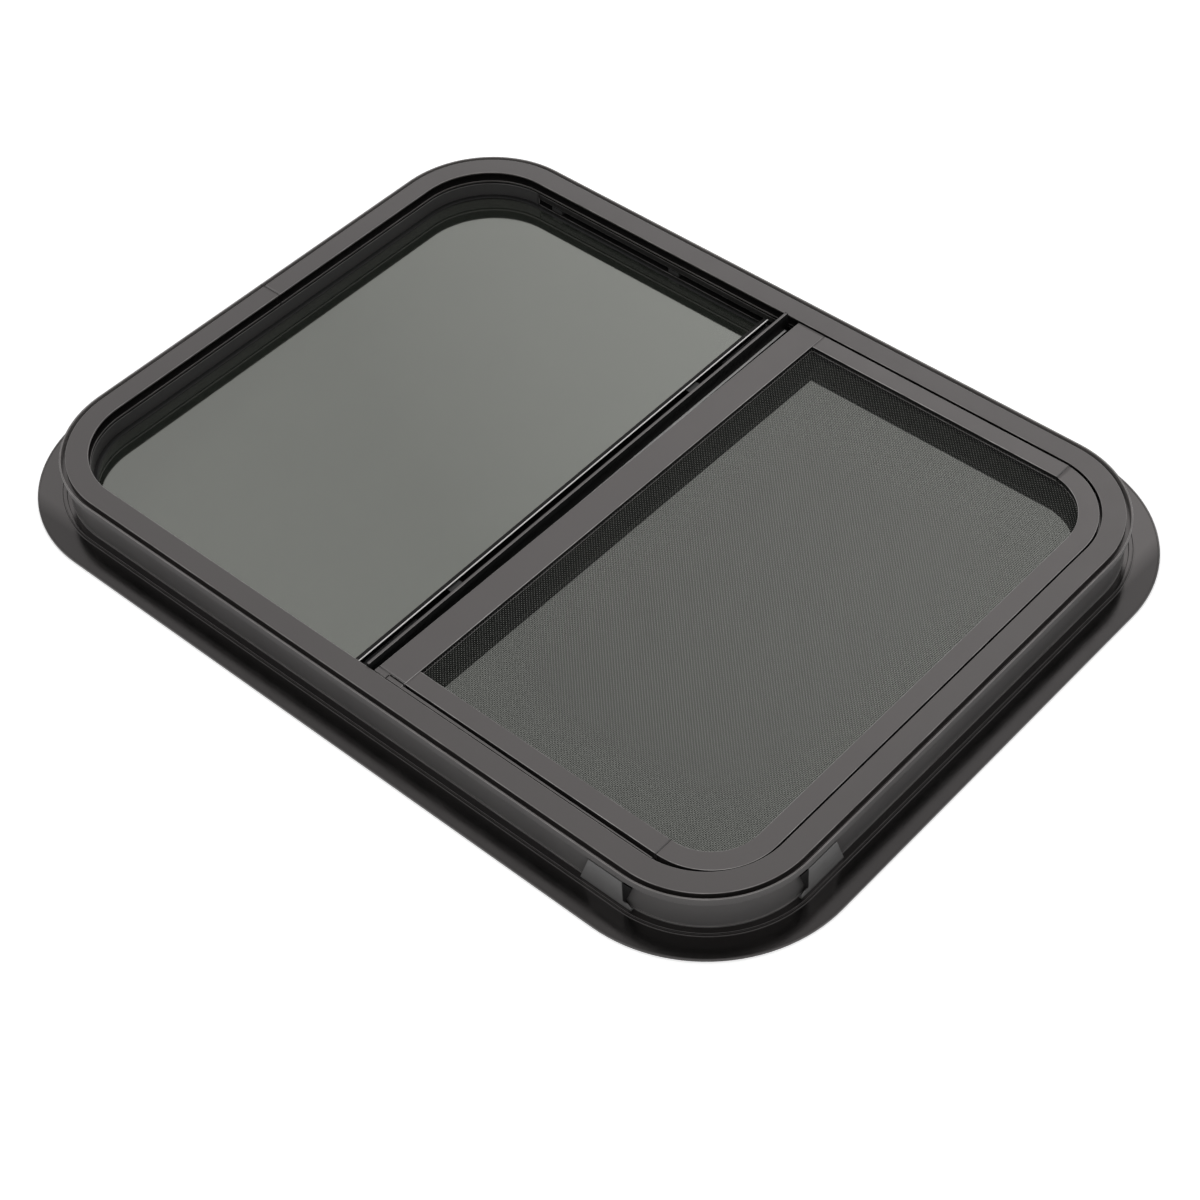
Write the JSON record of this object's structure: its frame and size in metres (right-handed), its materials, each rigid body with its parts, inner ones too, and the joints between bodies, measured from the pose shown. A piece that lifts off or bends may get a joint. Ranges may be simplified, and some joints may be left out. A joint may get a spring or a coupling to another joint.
{
  "type": "caravan window",
  "caption": "Black aluminium horizontal slider window for a caravan, with rounded corners, a tinted fixed pane, a sliding pane with a pull stile and an insect screen.",
  "frame": {"origin": "centre of the outer flange's outside face, which the window lies on", "axes": "+X along the long side towards the screened end, +Y along the short side, +Z from the outside of the vehicle to the inside"},
  "size_m": [0.8134, 0.6134, 0.0418],
  "materials": {
    "frame_black": "satin black coating on extruded aluminium",
    "screen_black": "satin black coating on rolled aluminium",
    "tinted_glass": "polished tinted safety glass",
    "rubber_black": "matt rubber",
    "pile_black": "woven pile",
    "latch_metal": "satin grey metal",
    "nylon_black": "moulded plastic",
    "mesh_grey": "coated woven mesh"
  },
  "bodies": {
    "root": {"frame": "frame_black", "outer_shelf": "frame_black", "frame_splice": "frame_black", "fixed_pane": "tinted_glass", "glazing_bed": "rubber_black", "glazing_seal": "rubber_black", "meeting_bar": "frame_black", "meeting_pile": "pile_black", "side_liner": "frame_black", "far_track": "frame_black", "far_track_floor": "frame_black", "near_track": "frame_black", "near_track_floor": "frame_black", "end_track": "frame_black", "far_pile": "pile_black", "near_pile": "pile_black", "end_pile": "pile_black", "slide_pane": "tinted_glass", "pull_stile": "frame_black", "stile_wedge": "rubber_black", "far_latch_plate": "latch_metal", "near_latch_plate": "latch_metal", "far_latch_clip": "latch_metal", "near_latch_clip": "latch_metal", "far_glide": "nylon_black", "near_glide": "nylon_black", "screen_stile": "screen_black", "screen_far_rail": "screen_black", "screen_near_rail": "screen_black", "screen_curve": "screen_black", "screen_filler": "screen_black", "screen_mesh": "mesh_grey", "screen_spline": "rubber_black", "near_channel_clip": "latch_metal", "end_channel_clip": "latch_metal", "left_drain": "nylon_black", "right_drain": "nylon_black", "left_track_stop": "nylon_black", "right_track_stop": "nylon_black"}
  },
  "joints": []
}
